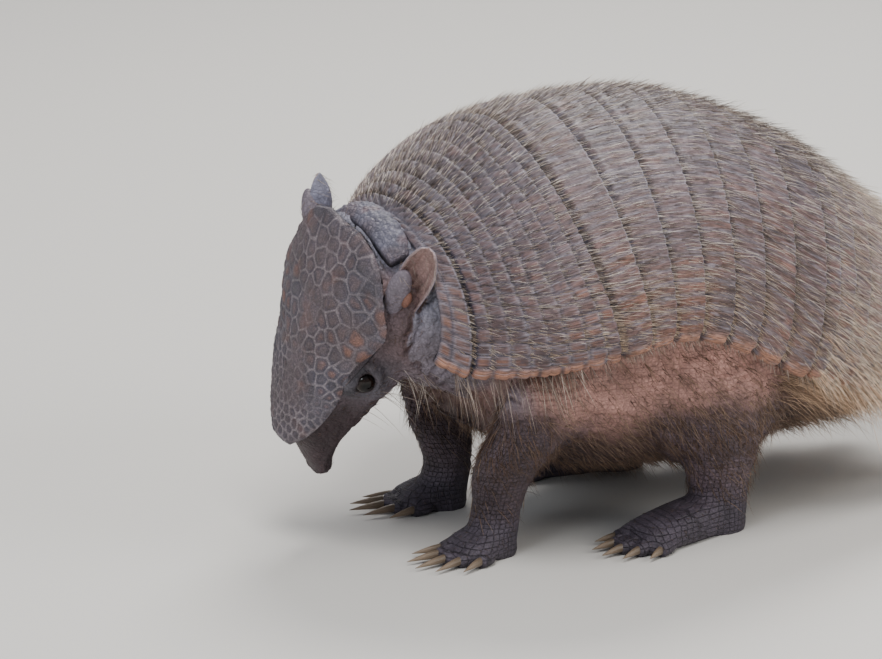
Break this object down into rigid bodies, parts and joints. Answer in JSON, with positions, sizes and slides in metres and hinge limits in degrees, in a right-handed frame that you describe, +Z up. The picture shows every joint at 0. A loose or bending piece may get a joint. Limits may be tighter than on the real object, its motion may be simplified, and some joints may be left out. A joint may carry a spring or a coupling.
{
  "type": "large hairy armadillo, standing with its head bent down",
  "caption": "Life-size still model of a hairy armadillo: banded shell, scaly head shield bent down to the ground, short clawed legs, long hair along its flanks.",
  "frame": {"origin": "on the floor, under the middle of the whole animal's box", "axes": "+X towards the tail, -X the way the animal faces, -Y its left side, +Z up"},
  "size_m": [0.4074, 0.1848, 0.1705],
  "materials": {
    "shell": "dull horny scales over bone, grey-brown",
    "head_shield": "dull horny scales over bone, grey-mauve brown",
    "skin": "bare and hairy skin, red-brown",
    "leg_skin": "scaly skin, dark purple-grey",
    "ear": "granular skin, grey outside and red-brown inside",
    "tail": "ringed scaly skin, brown",
    "eye": "wet black",
    "claw": "worn horn, grey-brown"
  },
  "bodies": {
    "root": {"front_band": "shell", "scapular_shield": "shell", "movable_band_1": "shell", "movable_band_2": "shell", "movable_band_3": "shell", "movable_band_4": "shell", "movable_band_5": "shell", "movable_band_6": "shell", "movable_band_7": "shell", "pelvic_shield": "shell", "nuchal_band": "shell", "head_shield": "head_shield", "trunk": "skin", "head": "skin", "neck": "skin", "foreleg_left": "leg_skin", "foreleg_right": "leg_skin", "hindleg_left": "leg_skin", "hindleg_right": "leg_skin", "ear_left": "ear", "ear_right": "ear", "tail": "tail", "eye_left": "eye", "eye_right": "eye", "claw_fore_left_1": "claw", "claw_fore_left_2": "claw", "claw_fore_left_3": "claw", "claw_fore_left_4": "claw", "claw_fore_left_5": "claw", "claw_fore_right_1": "claw", "claw_fore_right_2": "claw", "claw_fore_right_3": "claw", "claw_fore_right_4": "claw", "claw_fore_right_5": "claw", "claw_hind_left_1": "claw", "claw_hind_left_2": "claw", "claw_hind_left_3": "claw", "claw_hind_left_4": "claw", "claw_hind_left_5": "claw", "claw_hind_right_1": "claw", "claw_hind_right_2": "claw", "claw_hind_right_3": "claw", "claw_hind_right_4": "claw", "claw_hind_right_5": "claw"}
  },
  "joints": []
}
